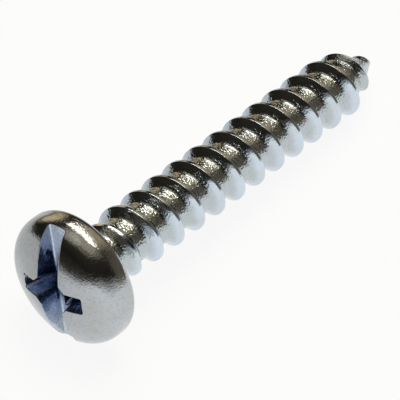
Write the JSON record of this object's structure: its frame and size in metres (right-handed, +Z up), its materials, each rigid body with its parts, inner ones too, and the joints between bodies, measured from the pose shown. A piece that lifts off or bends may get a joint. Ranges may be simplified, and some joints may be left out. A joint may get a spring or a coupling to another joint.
{
  "type": "sheet metal screw",
  "caption": "Pan-head sheet metal screw with a combined slot and cross drive, a coarse thread along the whole shank and a short tapered point.",
  "frame": {"origin": "bottom centre of the bounding box, on the surface the screw lies on", "axes": "+X along the screw from its head to its point, seen from above; +Z up; the screw's own axis is tipped down by 4.96 degrees towards the point"},
  "size_m": [0.0338, 0.0096, 0.0095],
  "materials": {
    "zinc_plate": "bright zinc plate, lightly mottled"
  },
  "bodies": {
    "root": {"screw": "zinc_plate"}
  },
  "joints": []
}
